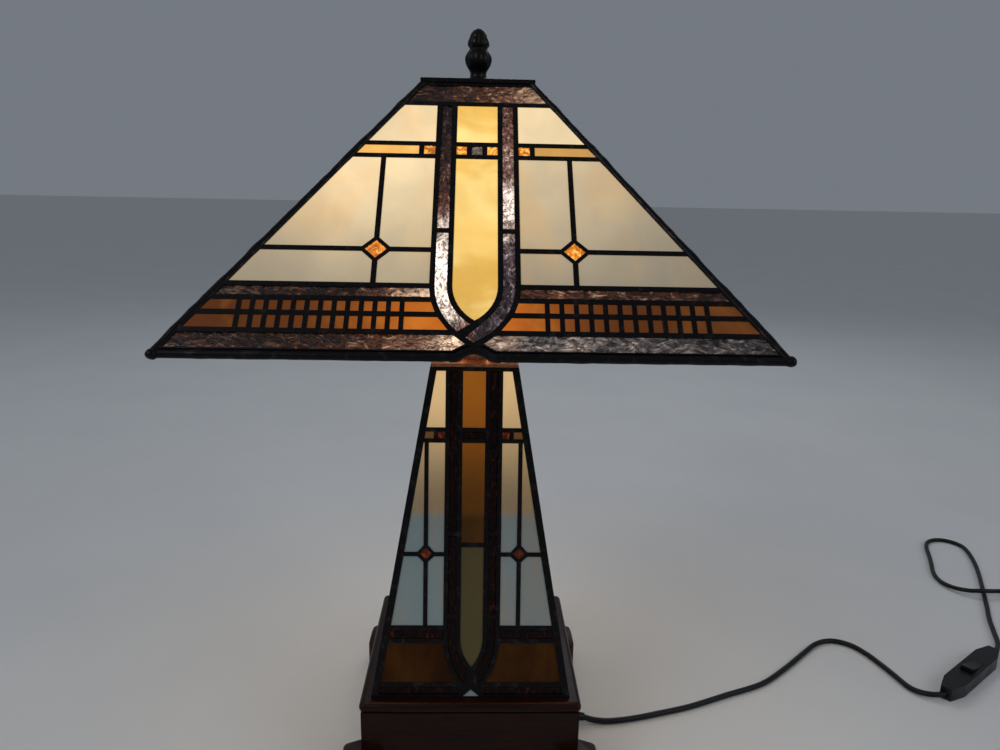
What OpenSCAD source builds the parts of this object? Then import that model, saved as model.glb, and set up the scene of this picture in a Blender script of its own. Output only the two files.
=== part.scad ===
// Mission style table lamp: leaded glass shade and tower on a wooden plinth.
// Millimetres, +Z up, origin on the table under the stem.

/* [Plinth] */
// Width of the top board
plinth_w = 170; // [165:1:180]
// Height of the top board's upper face above the table
plinth_h = 72; // [68:1:80]
// Thickness of the top board
board_t = 8.5; // [7:0.5:10]
// Width of the body under the board
body_w = 167; // [160:1:168]
// Thickness of the body's walls
wall_t = 9; // [6:1:12]
// Height of a corner foot with its felt
foot_h = 31; // [26:1:34]
// Width of a corner foot
foot_w = 31; // [26:1:34]
// How far a foot stands out past the body
foot_out = 15.5; // [10:0.5:18]

/* [Tower] */
// Height of the glass tower
tower_h = 251; // [250:1:256]
// Width of the tower at the plinth
tower_w = 153; // [152:1:156]
// Width of the tower at its top
tower_top_w = 67; // [66:1:70]

/* [Shade] */
// Width of the shade across its rim
shade_w = 363; // [361:1:366]
// Width of the shade under the cap
shade_top_w = 78; // [77:1:80]
// Height of the shade from rim to cap
shade_h = 164.5; // [163:0.5:168]
// Height of the rim above the table
rim_z = 360; // [355:1:370]

/* [Leaded glass] */
// Thickness of the glass
glass_t = 3; // [2:0.5:3]
// Width of a lead line
lead_w = 2.4; // [2:0.1:2.6]
// Thickness of the leaded panels
panel_t = 4.2; // [4:0.1:4.2]

/* [Lamps] */
// Radius of the shade's bulbs
bulb_r = 22.5; // [20:0.5:24]
// Rise of the shade's sockets above level
socket_rise = 23; // [10:1:25]

/* [Cord] */
// Diameter of the cord
cord_d = 5; // [4.8:0.1:5.2]

/* [Hidden] */
$fn = 48;

// Glass lies this far under a panel's outer face
glass_sink = (panel_t - glass_t) / 2;
half_lead = lead_w / 2;
// The lead laps this much further over the edge of every pane
lap = 0.45;

// Shade faces: x runs across a face and s down its slope from the cap
shade_run = (shade_w - shade_top_w) / 2;
shade_slant = sqrt(shade_run * shade_run + shade_h * shade_h);
shade_angle = atan2(shade_h, shade_run);
shade_z = rim_z + shade_h;
hip_w = 3.25;
hip_lead = 0.35;
rim_w = 4.8;
rim_proud = 0.8;

// Tower faces, in the same way
tower_run = (tower_w - tower_top_w) / 2;
tower_slant = sqrt(tower_run * tower_run + tower_h * tower_h);
tower_angle = atan2(tower_h, tower_run);
tower_z = plinth_h + tower_h;
corner_w = 4.2;
corner_lead = 0.8;

// Hardware on the stem
stem_r = 4.9;
stem_bore_r = 3.2;
stem_hole_r = 5.2;
stem_bottom = 50;
stem_top = 544;
nut_af_r = 8.5;
nut_h = 6.5;
washer_r = 10;
washer_t = 1.5;
cap_t = 3;
boss_w = 45;
boss_t = 1.4;
// Parts that turn on the stem run this far off it, and this far over what they rest on
run_gap = 0.08;
cap_z = shade_z + cap_t + boss_t;
plate_t = 2.5;
vase_h = 15;
vase_z = tower_z + plate_t;
cluster_z = vase_z + vase_h + washer_t + nut_h + 4;

// ---- Points and placing ----

function right_edge(top_half, slope, inset, s) = top_half + slope * s - inset;
function shade_edge(s) = right_edge(shade_top_w / 2, shade_run / shade_slant, hip_w + hip_lead, s);
function tower_edge(s) = right_edge(tower_top_w / 2, tower_run / tower_slant, corner_w + corner_lead, s);
function mirrored(points) = [for (p = points) [-p[0], p[1]]];
function both(panes) = concat(panes, [for (p = panes) mirrored(p)]);
// Four corners between rows s0 and s1, from x a to x b
function pane(s0, s1, a0, b0, a1, b1) = [[a0, -s0], [b0, -s0], [b1, -s1], [a1, -s1]];
function box_pane(s0, s1, a, b) = pane(s0, s1, a, b, a, b);
// Points on an arc about [x, s]
function arc(x, s, r, from, to, steps) =
    [for (i = [0 : steps]) let (a = from + (to - from) * i / steps) [x + r * cos(a), -(s + r * sin(a))]];
// Where such an arc passes row s
function arc_x(x, s0, r, s) = x + sqrt(r * r - (s - s0) * (s - s0));
function diamond(x, s, r) = [[x - r, -s], [x, -s + r], [x + r, -s], [x, -s - r]];

module on_faces(top_half, top_z, angle, faces = [0, 1, 2, 3]) {
    for (k = faces)
        rotate([0, 0, 90 * k]) translate([0, -top_half, top_z]) rotate([angle, 0, 0]) children();
}
module on_shade(faces = [0, 1, 2, 3]) { on_faces(shade_top_w / 2, shade_z, shade_angle, faces) children(); }
module on_tower(faces = [0, 1, 2, 3]) { on_faces(tower_top_w / 2, tower_z, tower_angle, faces) children(); }
module slab(points, low, high) {
    translate([0, 0, low]) linear_extrude(high - low) polygon(points);
}
module lapped(points) { offset(delta = -lap) polygon(points); }
module glass(panes) {
    translate([0, 0, -glass_sink - glass_t]) linear_extrude(glass_t) for (p = panes) lapped(p);
}
module leads(outline, panes) {
    translate([0, 0, -panel_t]) linear_extrude(panel_t) difference() {
        polygon(outline);
        for (p = panes) lapped(p);
    }
}
// A panel runs a little long at the top and bottom and is cut level there
trim = 8;
module level(low, high) {
    difference() {
        children();
        translate([-300, -300, low - 2 * trim]) cube([600, 600, 2 * trim]);
        translate([-300, -300, high]) cube([600, 600, 2 * trim]);
    }
}

// ---- Shade pattern ----

band_row = [2.5, 19];
upper_row = [21.4, 55.4];
narrow_row = [57.8, 66.2];
panel_row = [68.6, 141];
lower_row = [143.4, 167.2];
thin_ripple_row = [169.6, 176.8];
brick_rows = [[179.2, 187], [189.4, 199]];
rim_ripple_row = [201.4, 212.4];
// The two strips: lead lines at these x, straight down to curve_s, then arcs that cross
strip_in = 15;
strip_out = 25.4;
strip_joint = 127.4;
curve_s = 168;
in_r = 30;
out_r = 44.2;
jewel_x = 60;
jewel_s = 142.2;
jewel_r = 7.3;
jewel_gap = 9.4;
brick_gap = 2;
brick_from = 43;
brick_to = 134.4;
centre_square = 7.6;
side_square = 8.2;

strip_side = strip_out + half_lead;
ogive_half = strip_in - half_lead;
function beside_strip(s) = s <= curve_s ? strip_side
                         : arc_x(strip_out - out_r, curve_s, out_r + half_lead, s);
function full_width(row) = pane(row[0], row[1], -shade_edge(row[0]), shade_edge(row[0]),
                                -shade_edge(row[1]), shade_edge(row[1]));
function out_to_hip(row, x) = pane(row[0], row[1], x, shade_edge(row[0]), x, shade_edge(row[1]));
function strip_to(row, x) = pane(row[0], row[1], beside_strip(row[0]), x, beside_strip(row[1]), x);

jewel_cut = jewel_gap - half_lead;
cream_panes = both([
    out_to_hip(upper_row, strip_side),
    [[jewel_x + half_lead, -panel_row[0]], [shade_edge(panel_row[0]), -panel_row[0]],
     [shade_edge(panel_row[1]), -panel_row[1]], [jewel_x + jewel_cut, -panel_row[1]],
     [jewel_x + half_lead, -jewel_s + jewel_cut]],
    [[strip_side, -panel_row[0]], [jewel_x - half_lead, -panel_row[0]],
     [jewel_x - half_lead, -jewel_s + jewel_cut], [jewel_x - jewel_cut, -panel_row[1]],
     [strip_side, -panel_row[1]]],
    [[jewel_x + jewel_cut, -lower_row[0]], [shade_edge(lower_row[0]), -lower_row[0]],
     [shade_edge(lower_row[1]), -lower_row[1]], [jewel_x + half_lead, -lower_row[1]],
     [jewel_x + half_lead, -jewel_s - jewel_cut]],
    [[strip_side, -lower_row[0]], [jewel_x - jewel_cut, -lower_row[0]],
     [jewel_x - half_lead, -jewel_s - jewel_cut], [jewel_x - half_lead, -lower_row[1]],
     [strip_side, -lower_row[1]]]
]);
ogive_right = arc(strip_in - in_r, curve_s, in_r - half_lead, 0,
                  acos((in_r - strip_in) / (in_r - half_lead)), 8);
amber_panes = [
    box_pane(upper_row[0], upper_row[1], -ogive_half, ogive_half),
    concat([[-ogive_half, -panel_row[0]], [ogive_half, -panel_row[0]]], ogive_right,
           [for (i = [7 : -1 : 0]) [-ogive_right[i][0], ogive_right[i][1]]])
];
honey_panes = both([out_to_hip(narrow_row, strip_side + side_square + lead_w)]);
jewel_panes = both([
    box_pane(narrow_row[0], narrow_row[1], strip_side, strip_side + side_square),
    box_pane(narrow_row[0], narrow_row[1], ogive_half - centre_square, ogive_half),
    diamond(jewel_x, jewel_s, jewel_r)
]);
grey_panes = [box_pane(narrow_row[0], narrow_row[1], -centre_square / 2, centre_square / 2)];
function brick_run(row, count) = let (pitch = (brick_to - brick_from + brick_gap) / count) concat(
    [strip_to(row, brick_from - brick_gap), out_to_hip(row, brick_to + brick_gap)],
    [for (i = [0 : count - 1]) box_pane(row[0], row[1], brick_from + pitch * i,
                                        brick_from + pitch * (i + 1) - brick_gap)]);
brick_panes = concat([for (row = brick_rows) each brick_run(row, 11)],
                     [for (row = brick_rows) for (p = brick_run(row, 12)) mirrored(p)]);
rim_tip = [4.4, -207.4];
rim_ripple = concat(
    [rim_tip, [12.4, -rim_ripple_row[1]], [shade_edge(rim_ripple_row[1]), -rim_ripple_row[1]],
     [shade_edge(rim_ripple_row[0]), -rim_ripple_row[0]]],
    [[beside_strip(rim_ripple_row[0]), -rim_ripple_row[0]], [beside_strip(205), -205]]);
thin_ripple = pane(thin_ripple_row[0], thin_ripple_row[1], beside_strip(thin_ripple_row[0]),
                   shade_edge(thin_ripple_row[0]), beside_strip(thin_ripple_row[1]),
                   shade_edge(thin_ripple_row[1]));
ripple_panes = concat([full_width(band_row)], both([thin_ripple, rim_ripple]));
upper_strip = box_pane(upper_row[0], strip_joint - half_lead, strip_in + half_lead, strip_out - half_lead);
strip_start = [[strip_out - half_lead, -strip_joint - half_lead],
               [strip_in + half_lead, -strip_joint - half_lead]];
// The right strip runs over the crossing and the left strip stops at it
right_strip = concat(strip_start,
    arc(strip_in - in_r, curve_s, in_r + half_lead, 0, 46, 6), [[-5.9, -203.4]],
    arc(strip_out - out_r, curve_s, out_r - half_lead, 65, 0, 8));
left_strip = mirrored(concat(strip_start,
    arc(strip_in - in_r, curve_s, in_r + half_lead, 0, 58, 7),
    arc(strip_out - out_r, curve_s, out_r - half_lead, 48, 0, 6)));
strip_panes = concat(both([upper_strip]), [right_strip, left_strip]);
shade_panes = concat(cream_panes, amber_panes, honey_panes, jewel_panes, grey_panes, brick_panes,
                     ripple_panes, strip_panes);
// Where the leaded panel ends and the rim came begins, with the inverted V at the middle
came_s = shade_slant - rim_w;
rim_v = [[12, -came_s], [4.4, -208.9], [-4.4, -208.9], [-12, -came_s]];
function hip_x(s) = right_edge(shade_top_w / 2, shade_run / shade_slant, hip_w, s);
top_trim = panel_t / tan(shade_angle) + 0.1;
shade_outline = concat([[-hip_x(-top_trim), top_trim], [hip_x(-top_trim), top_trim],
                        [hip_x(came_s), -came_s]], rim_v, [[-hip_x(came_s), -came_s]]);

// ---- Tower pattern ----

t_upper_row = [2.4, 46];
t_narrow_row = [48.4, 54.4];
t_panel_row = [56.8, 141.4];
t_lower_row = [143.8, 198.4];
t_ripple_row = [200.8, 208.8];
t_side_row = [211.2, 243.2];
t_rim_row = [245.6, 252.6];
t_strip_in = 10.2;
t_strip_out = 20;
t_curve_s = 208;
t_in_r = 35.7;
t_out_r = 59.7;
t_jewel_x = 35.5;
t_jewel_s = 142.2;
t_jewel_r = 5.3;
t_jewel_gap = 7.4;
t_jewel_cut = t_jewel_gap - half_lead;
t_joints = [63.2, 126.8, 190.6];
t_olive_s = 135.4;

t_strip_side = t_strip_out + half_lead;
t_centre_half = t_strip_in - half_lead;
function beside_t_strip(s) = s <= t_curve_s ? t_strip_side
                           : arc_x(t_strip_out - t_out_r, t_curve_s, t_out_r + half_lead, s);
function t_out(row, x) = pane(row[0], row[1], x, tower_edge(row[0]), x, tower_edge(row[1]));
t_cream_panes = concat(both([
    t_out(t_upper_row, t_strip_side),
    [[t_jewel_x + half_lead, -t_panel_row[0]], [tower_edge(t_panel_row[0]), -t_panel_row[0]],
     [tower_edge(t_panel_row[1]), -t_panel_row[1]], [t_jewel_x + t_jewel_cut, -t_panel_row[1]],
     [t_jewel_x + half_lead, -t_jewel_s + t_jewel_cut]],
    [[t_strip_side, -t_panel_row[0]], [t_jewel_x - half_lead, -t_panel_row[0]],
     [t_jewel_x - half_lead, -t_jewel_s + t_jewel_cut], [t_jewel_x - t_jewel_cut, -t_panel_row[1]],
     [t_strip_side, -t_panel_row[1]]],
    [[t_jewel_x + t_jewel_cut, -t_lower_row[0]], [tower_edge(t_lower_row[0]), -t_lower_row[0]],
     [tower_edge(t_lower_row[1]), -t_lower_row[1]], [t_jewel_x + half_lead, -t_lower_row[1]],
     [t_jewel_x + half_lead, -t_jewel_s - t_jewel_cut]],
    [[t_strip_side, -t_lower_row[0]], [t_jewel_x - t_jewel_cut, -t_lower_row[0]],
     [t_jewel_x - half_lead, -t_jewel_s - t_jewel_cut], [t_jewel_x - half_lead, -t_lower_row[1]],
     [t_strip_side, -t_lower_row[1]]]
]), [[[0, -247.5], [7.6, -253.9], [-7.6, -253.9]]]);
t_amber_panes = concat([
    box_pane(t_upper_row[0], t_upper_row[1], -t_centre_half, t_centre_half),
    box_pane(t_panel_row[0], t_olive_s - half_lead, -t_centre_half, t_centre_half)
], both([concat([for (i = [0 : 4]) let (s = t_side_row[0] + (t_side_row[1] - t_side_row[0]) * i / 4)
                    [beside_t_strip(s), -s]],
                [for (s = [t_side_row[1], t_side_row[0]]) [tower_edge(s), -s]])]));
t_point = arc(t_strip_in - t_in_r, t_curve_s, t_in_r - half_lead, 0,
              acos((t_in_r - t_strip_in) / (t_in_r - half_lead)), 6);
t_olive_panes = [concat([[-t_centre_half, -t_olive_s - half_lead], [t_centre_half, -t_olive_s - half_lead]],
                        t_point, [for (i = [5 : -1 : 0]) [-t_point[i][0], t_point[i][1]]])];
t_honey_panes = both([t_out(t_narrow_row, 29.8)]);
t_jewel_panes = both([box_pane(t_narrow_row[0], t_narrow_row[1], t_strip_side, 27.6),
                      diamond(t_jewel_x, t_jewel_s, t_jewel_r)]);
t_rim_ripple = pane(t_rim_row[0], t_rim_row[1], 10.4, tower_edge(t_rim_row[0]),
                    8.4, tower_edge(t_rim_row[1]));
t_ripple_panes = concat([box_pane(t_narrow_row[0], t_narrow_row[1], -t_centre_half, t_centre_half)],
    both([pane(t_ripple_row[0], t_ripple_row[1], t_strip_side, tower_edge(t_ripple_row[0]),
               t_strip_side, tower_edge(t_ripple_row[1])), t_rim_ripple]));
t_strip_a = t_strip_in + half_lead;
t_strip_b = t_strip_out - half_lead;
t_strip_foot = concat([[t_strip_b, -t_joints[2] - half_lead], [t_strip_a, -t_joints[2] - half_lead]],
    arc(t_strip_in - t_in_r, t_curve_s, t_in_r + half_lead, 0, 41, 5),
    arc(t_strip_out - t_out_r, t_curve_s, t_out_r - half_lead, 40, 0, 5));
t_strip_panes = both([
    box_pane(t_upper_row[0], t_joints[0] - half_lead, t_strip_a, t_strip_b),
    box_pane(t_joints[0] + half_lead, t_joints[1] - half_lead, t_strip_a, t_strip_b),
    box_pane(t_joints[1] + half_lead, t_joints[2] - half_lead, t_strip_a, t_strip_b),
    t_strip_foot
]);
tower_panes = concat(t_cream_panes, t_amber_panes, t_olive_panes, t_honey_panes, t_jewel_panes,
                     t_ripple_panes, t_strip_panes);
function corner_x(s) = right_edge(tower_top_w / 2, tower_run / tower_slant, corner_w, s);
t_trim = panel_t / tan(tower_angle) + 0.1;
tower_outline = [[-corner_x(-t_trim), t_trim], [corner_x(-t_trim), t_trim],
                 [corner_x(tower_slant), -tower_slant], [-corner_x(tower_slant), -tower_slant]];

// ---- Cord route, on the table, points chosen by hand ----

cord_r = cord_d / 2;
// Height of a cord's centre where it lies down, and where it enters the switch
lie = 2.35;
enter = 5.5;
over = 8;
lead_route = [[84, -10, 9], [98, -10, 6.2], [108, -10.5, 3.6], [122, -10.5, lie], [143, -7, lie],
              [168, 0, lie], [198, 9.5, lie], [236, 26, lie], [275, 43, lie], [306, 67, lie],
              [337, 95, lie], [357, 112, lie], [375, 117.5, lie], [391, 110, lie], [400.5, 94, lie],
              [406, 76, lie], [410.5, 57, lie], [414.1, 39.4, 2.6], [419.6, 30, 3.4],
              [429, 24.5, 4.4], [438.5, 24.1, 5.1], [447, 28, enter]];
loop_route = [[523, 85.3, enter], [534, 94.2, 4.8], [543.5, 104.5, 3.6], [551.5, 117, 2.7],
              [560.5, 137, lie], [572, 162, lie], [586, 188, lie], [600, 215, lie], [614, 242, lie],
              [629, 272, lie], [641, 299, lie], [648.5, 319.5, lie], [653.7, 338.5, lie],
              [653.7, 350.5, lie], [647.8, 360.8, lie], [638, 366.7, lie], [627, 366.8, lie],
              [617, 361.8, lie], [609, 353, lie], [602, 340, lie], [594.5, 322, lie], [584, 298, lie],
              [572, 272, lie], [567.6, 254, 2.6], [568.4, 240, 3.4], [574, 228, 4.6],
              [583.5, 219.5, 6.2], [592, 216.4, 7.4], [600, 215.2, over], [609, 215.5, 7.6],
              [626, 219.8, 5.6], [641, 226.5, 3.6], [652, 230.7, lie], [661, 232.5, lie]];
coil_at = [661, 200];
coil_r = 30;
plug_at = [693.5, 121];
plug_route = [[693.5, 200, 7.5], [693.5, 185, 8], [693.5, 168, 9.4], [693.5, 147, 11]];
switch_at = [484.6, 56.5];
switch_turn = 37;
switch_l = 110;
switch_w = 20;
switch_h = 12.5;
pivot_z = 8.5;

function unit(v) = v / norm(v);
function heading(p, i) = unit(p[min(i + 1, len(p) - 1)] - p[max(i - 1, 0)]);
function ring(c, t, r, n) = let (u = unit(cross(t, [0, 0, 1])), w = cross(u, t))
    [for (k = [0 : n - 1]) c + r * (cos(360 * (k + 0.5) / n) * u + sin(360 * (k + 0.5) / n) * w)];
// The point half way between b and c on a smooth curve through a, b, c and d
function between(a, b, c, d) = (9 * (b + c) - a - d) / 16;
function lifted(p) = [p[0], p[1], max(p[2], lie)];
function smooth(p) = [for (i = [0 : 2 * len(p) - 2]) let (k = floor(i / 2))
    i % 2 == 0 ? p[k] : lifted(between(p[max(k - 1, 0)], p[k], p[k + 1], p[min(k + 2, len(p) - 1)]))];
module tube(route, r, sides = 8) {
    p = smooth(route);
    n = len(p);
    polyhedron(
        points = [for (i = [0 : n - 1]) each ring(p[i], heading(p, i), r, sides)],
        faces = concat([[for (k = [0 : sides - 1]) k]], [[for (k = [sides - 1 : -1 : 0]) (n - 1) * sides + k]],
            [for (i = [0 : n - 2]) for (k = [0 : sides - 1])
                let (a = i * sides + k, b = i * sides + (k + 1) % sides)
                each [[a, a + sides, b + sides], [a, b + sides, b]]]));
}

// ---- Plinth ----

module board_hole() { translate([0, 0, plinth_h - board_t - 1]) cylinder(r = stem_hole_r, h = board_t + 2); }
module plinth_top() {
    bead = board_t / 2;
    color([0.16, 0.07, 0.05]) difference() {
        union() {
            translate([-plinth_w / 2 + bead, -plinth_w / 2 + bead, plinth_h - board_t])
                cube([plinth_w - board_t, plinth_w - board_t, board_t]);
            for (k = [0 : 3]) rotate([0, 0, 90 * k]) {
                translate([-plinth_w / 2 + bead, -plinth_w / 2 + bead, plinth_h - bead])
                    rotate([0, 90, 0]) cylinder(r = bead, h = plinth_w - board_t);
                translate([-plinth_w / 2 + bead, -plinth_w / 2 + bead, plinth_h - bead]) sphere(r = bead);
            }
        }
        board_hole();
    }
}
body_bottom = 4;
// The cord leaves through a bushing that dips towards the table
exit_at = [0, -10, 11];
exit_dip = 11;
bushing_r = 4.5;
bushing_l = 25;
module at_exit() {
    translate([body_w / 2 - wall_t + exit_at[0], exit_at[1], exit_at[2]]) rotate([0, 90 + exit_dip, 0]) children();
}
module plinth_body() {
    inner = body_w - 2 * wall_t;
    color([0.12, 0.05, 0.04]) difference() {
        translate([-body_w / 2, -body_w / 2, body_bottom])
            cube([body_w, body_w, plinth_h - board_t - body_bottom]);
        translate([-inner / 2, -inner / 2, body_bottom - 1]) cube([inner, inner, plinth_h]);
        at_exit() translate([0, 0, -3]) cylinder(r = bushing_r, h = bushing_l);
    }
}
felt_t = 1.5;
module foot_shape() {
    soft = 5;
    hull() {
        translate([soft, soft, 0]) cylinder(r = soft, h = foot_h - felt_t - soft, $fn = 32);
        translate([foot_w - soft, soft, 0]) cylinder(r = soft, h = foot_h - felt_t - soft, $fn = 32);
        translate([soft, foot_w - soft, 0]) cylinder(r = soft, h = foot_h - felt_t - soft, $fn = 32);
        translate([foot_w - 2, foot_w - 2, 0]) cylinder(r = 2, h = foot_h - felt_t - soft, $fn = 32);
        translate([soft + 2, soft + 2, foot_h - felt_t - 3]) cylinder(r = soft, h = 3, $fn = 32);
        translate([foot_w - 2 * soft, foot_w - 2 * soft, foot_h - felt_t - 3]) cylinder(r = 2 * soft, h = 3, $fn = 32);
    }
}
module plinth_feet() {
    outer = body_w / 2 + foot_out;
    color([0.14, 0.06, 0.05]) for (k = [0 : 3]) rotate([0, 0, 90 * k]) difference() {
        translate([-outer, -outer, felt_t]) foot_shape();
        translate([-body_w / 2, -body_w / 2, felt_t - 1]) cube([foot_w, foot_w, foot_h + 2]);
    }
}
module felt_pads() {
    outer = body_w / 2 + foot_out;
    color([0.05, 0.05, 0.05]) for (k = [0 : 3]) rotate([0, 0, 90 * k])
        translate([-outer + 9, -outer + 9, 0]) cylinder(r = 5.5, h = felt_t);
}
cover_t = 2.4;
screw_at = 62;
module bottom_cover() {
    side = body_w - 2 * wall_t - 0.6;
    color([0.3, 0.22, 0.15]) difference() {
        translate([-side / 2, -side / 2, body_bottom]) cube([side, side, cover_t]);
        for (x = [-screw_at, screw_at]) for (y = [-screw_at, screw_at])
            translate([x, y, body_bottom - 1]) cylinder(r = 2, h = cover_t + 2);
    }
}
module bottom_screws() {
    color([0.6, 0.58, 0.5]) for (x = [-screw_at, screw_at]) for (y = [-screw_at, screw_at])
        translate([x, y, body_bottom - 1.6]) {
            cylinder(r = 3.6, h = 1.6);
            translate([0, 0, 1]) cylinder(r = 1.9, h = 12);
        }
}
module cord_bushing() {
    color([0.02, 0.02, 0.02]) at_exit() difference() {
        union() {
            cylinder(r = bushing_r, h = wall_t + 3);
            translate([0, 0, wall_t + 3]) cylinder(r1 = bushing_r, r2 = 3.3, h = bushing_l - wall_t - 3);
        }
        translate([0, 0, -1]) cylinder(r = cord_r, h = bushing_l + 2);
    }
}

// ---- Stem ----

module stem_tube() {
    color([0.75, 0.65, 0.4]) difference() {
        translate([0, 0, stem_bottom]) cylinder(r = stem_r, h = stem_top - stem_bottom);
        translate([0, 0, stem_bottom - 1]) cylinder(r = stem_bore_r, h = stem_top - stem_bottom + 2);
    }
}
cap_rest = shade_z - run_gap;
washer_levels = [plinth_h - board_t - washer_t, vase_z + vase_h, cap_rest - washer_t];
nut_levels = [plinth_h - board_t - washer_t - nut_h, vase_z + vase_h + washer_t, cap_rest - washer_t - nut_h];
module stem_nuts() {
    color([0.7, 0.6, 0.35]) for (z = nut_levels) translate([0, 0, z]) difference() {
        cylinder(r = nut_af_r, h = nut_h, $fn = 6);
        translate([0, 0, -1]) cylinder(r = stem_r, h = nut_h + 2);
    }
}
module stem_washers() {
    color([0.7, 0.6, 0.35]) for (z = washer_levels) translate([0, 0, z]) difference() {
        cylinder(r = washer_r, h = washer_t);
        translate([0, 0, -1]) cylinder(r = stem_hole_r, h = washer_t + 2);
    }
}

// ---- Tower ----

module tower_leads(face) {
    color([0.06, 0.05, 0.05]) level(plinth_h, tower_z) on_tower([face]) leads(tower_outline, tower_panes);
}
module tower_leads_front() { tower_leads(0); }
module tower_leads_right() { tower_leads(1); }
module tower_leads_back() { tower_leads(2); }
module tower_leads_left() { tower_leads(3); }
// Two came strips along neighbouring edges, mitred on the upright plane between their faces
module mitred(turn) {
    difference() {
        children();
        rotate([0, 0, turn]) translate([-300, 0, 0]) cube([600, 300, 600]);
    }
}
module tower_corner_cames() {
    function edge(s) = tower_top_w / 2 + tower_run / tower_slant * s;
    strip = [[edge(-t_trim) - corner_w, t_trim], [edge(-t_trim), t_trim],
             [edge(tower_slant), -tower_slant], [edge(tower_slant) - corner_w, -tower_slant]];
    color([0.07, 0.06, 0.05]) for (k = [0 : 3]) rotate([0, 0, 90 * k]) level(plinth_h, tower_z) union() {
        mitred(-45) on_tower([0]) slab(strip, -panel_t, 0);
        mitred(135) on_tower([1]) slab(mirrored(strip), -panel_t, 0);
    }
}
module tower_glass_cream() { color([0.85, 0.85, 0.78]) on_tower() glass(t_cream_panes); }
module tower_glass_amber() { color([0.72, 0.48, 0.2]) on_tower() glass(t_amber_panes); }
module tower_glass_olive() { color([0.6, 0.55, 0.38]) on_tower() glass(t_olive_panes); }
module tower_glass_strips() { color([0.16, 0.08, 0.06]) on_tower() glass(t_strip_panes); }
module tower_glass_ripple() { color([0.14, 0.07, 0.08]) on_tower() glass(t_ripple_panes); }
module tower_glass_honey() { color([0.65, 0.5, 0.3]) on_tower() glass(t_honey_panes); }
module tower_glass_jewels() { color([0.7, 0.3, 0.1]) on_tower() glass(t_jewel_panes); }
module tower_top_plate() {
    side = tower_top_w - 1;
    color([0.45, 0.3, 0.2]) translate([0, 0, tower_z]) difference() {
        translate([-side / 2, -side / 2, 0]) cube([side, side, plate_t]);
        translate([0, 0, -1]) cylinder(r = stem_hole_r, h = plate_t + 2);
        for (x = [-19, 19]) for (y = [-19, 19]) translate([x, y, -1]) cylinder(r = 9, h = plate_t + 2);
    }
}
module vase_cap() {
    color([0.5, 0.28, 0.18]) translate([0, 0, vase_z]) rotate_extrude() polygon([
        [stem_hole_r, 0], [16, 0], [16, 2], [15, 5], [12.6, 8.6], [9.8, 11.4], [9.8, vase_h],
        [stem_hole_r, vase_h]]);
}
// Radius of every bulb's screw cap
cap_r = 7;
// The tower's own small lamp stands off the stem on a bracket
lamp_at = [0, 26];
module tower_lamp_bracket() {
    color([0.6, 0.58, 0.5]) translate([0, 0, plinth_h]) {
        difference() {
            translate([-8, -9, 0]) cube([16, lamp_at[1] + 21, 1.6]);
            translate([0, 0, -1]) cylinder(r = stem_hole_r, h = 4);
        }
        translate([-8, lamp_at[1] + 12, 1]) cube([16, 1.6, 14]);
    }
}
module tower_lamp_socket() {
    color([0.85, 0.83, 0.78]) translate([lamp_at[0], lamp_at[1], plinth_h + 1.6]) difference() {
        cylinder(r = 11.5, h = 40);
        translate([0, 0, 18]) cylinder(r = cap_r + 0.05, h = 23);
    }
}
module tower_bulb_cap() {
    color([0.75, 0.73, 0.68]) translate([lamp_at[0], lamp_at[1], plinth_h + 20.1])
        cylinder(r = cap_r, h = 23.5);
}
module tower_bulb_glass() {
    color([0.9, 0.9, 0.85]) translate([lamp_at[0], lamp_at[1], plinth_h + 43.6])
        rotate_extrude() polygon([[0, 0], [7, 0], [7, 3], [11, 12], [11, 34], [8, 41], [3.4, 45], [0, 45.6]]);
}

// ---- Lamp cluster under the shade ----

arm_z = cluster_z + 17;
socket_from = 17;
socket_to = 60;
module on_arm(side) {
    translate([0, 0, arm_z]) rotate([0, side * (90 - socket_rise), 0]) children();
}
module cluster_body() {
    color([0.3, 0.2, 0.13]) difference() {
        union() {
            translate([0, 0, cluster_z]) rotate_extrude()
                polygon([[0, 0], [9, 0], [13, 5], [15, 11], [15, 23], [13, 29], [8, 33], [0, 33]]);
            for (side = [-1, 1]) on_arm(side) cylinder(r = 6.5, h = socket_from);
        }
        translate([0, 0, cluster_z - 1]) cylinder(r = stem_hole_r, h = 36);
    }
}
module cluster_sockets() {
    color([0.08, 0.07, 0.06]) for (side = [-1, 1]) on_arm(side) difference() {
        translate([0, 0, socket_from]) cylinder(r1 = 11.5, r2 = 13.5, h = socket_to - socket_from);
        translate([0, 0, socket_to - 24]) cylinder(r = cap_r + 0.05, h = 25);
    }
}
module bulb_cap(side) {
    color([0.75, 0.73, 0.68]) on_arm(side) translate([0, 0, socket_to - 23.5]) cylinder(r = cap_r, h = 25);
}
module bulb_glass(side) {
    color([1, 0.93, 0.75]) on_arm(side) union() {
        translate([0, 0, socket_to + 1.5]) cylinder(r1 = 7.5, r2 = 14, h = 11);
        translate([0, 0, socket_to + 27]) sphere(r = bulb_r);
    }
}
module left_bulb_cap() { bulb_cap(-1); }
module left_bulb_glass() { bulb_glass(-1); }
module right_bulb_cap() { bulb_cap(1); }
module right_bulb_glass() { bulb_glass(1); }

// ---- Shade ----

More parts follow.
